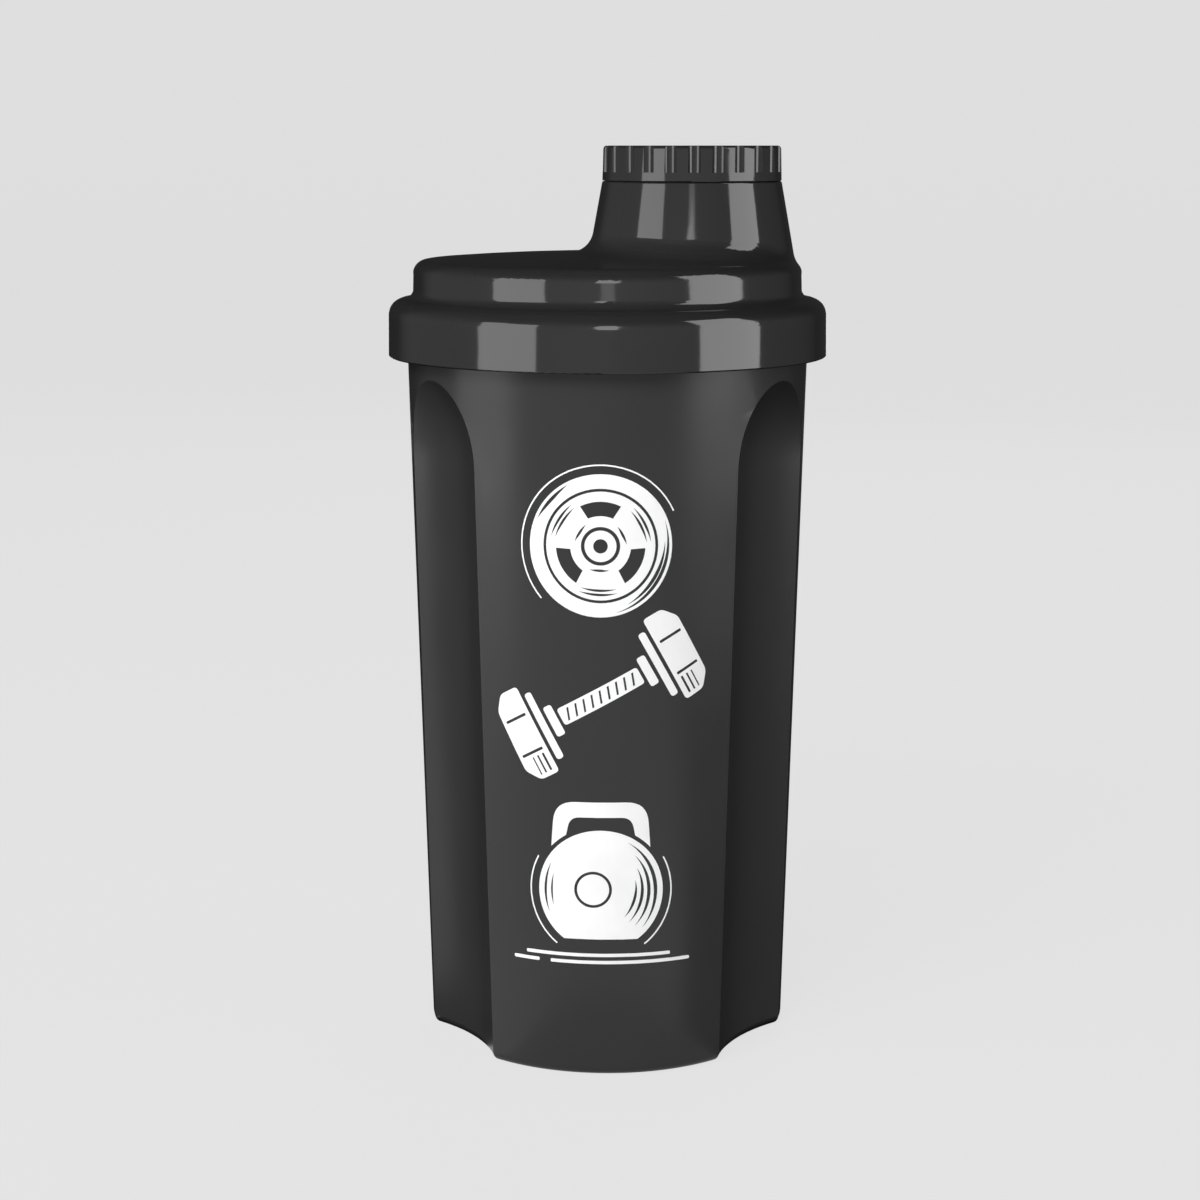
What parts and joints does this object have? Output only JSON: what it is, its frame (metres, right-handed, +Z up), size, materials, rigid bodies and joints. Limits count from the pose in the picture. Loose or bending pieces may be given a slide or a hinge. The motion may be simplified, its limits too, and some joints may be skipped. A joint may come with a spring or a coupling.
{
  "type": "protein shaker bottle",
  "caption": "Fluted plastic shaker cup with a screw lid, an off-centre drinking spout under a grooved screw cap, a sieve inside the lid, and soft seals.",
  "frame": {"origin": "centre of the base, on the surface the bottle stands on", "axes": "+Z up along the cup's axis, +X towards the drinking spout, -Y towards the middle of the cup's front lobe"},
  "size_m": [0.0962, 0.0962, 0.1975],
  "materials": {
    "cup_plastic": "satin black polypropylene",
    "lid_plastic": "glossy black polypropylene",
    "sieve_plastic": "fine-grained black polypropylene",
    "seal_rubber": "matt grey silicone",
    "print_ink": "white screen-printed ink"
  },
  "bodies": {
    "bottle": {"bottle": "cup_plastic"},
    "lid_ring": {"lid_seal": "seal_rubber"},
    "lid": {"lid": "lid_plastic"},
    "sieve": {"mixing_sieve": "sieve_plastic"},
    "cap_liner": {"cap_seal": "seal_rubber"},
    "cap": {"spout_cap": "lid_plastic"}
  },
  "joints": [
    {"name": "lid_rise", "type": "slide", "parent": "bottle", "child": "lid_ring", "axis": [0, 0, 1], "range_m": [0, 0.0054]},
    {"name": "lid_turn", "type": "hinge", "parent": "lid_ring", "child": "lid", "pos_m": [0, 0, 0.163], "axis": [0, 0, 1], "range_deg": [0, 390]},
    {"name": "sieve_pull", "type": "slide", "parent": "lid", "child": "sieve", "axis": [0, 0, 1], "range_m": [-0.01, 0]},
    {"name": "cap_rise", "type": "slide", "parent": "lid", "child": "cap_liner", "axis": [0, 0, 1], "range_m": [0, 0.0025]},
    {"name": "cap_turn", "type": "hinge", "parent": "cap_liner", "child": "cap", "pos_m": [0.01836, 0, 0.196], "axis": [0, 0, 1], "range_deg": [0, 376]}
  ],
  "couplings": [
    {"joint": "lid_turn", "follows": "lid_rise", "rad_per_m": 1256.6},
    {"joint": "cap_turn", "follows": "cap_rise", "rad_per_m": 2618}
  ]
}
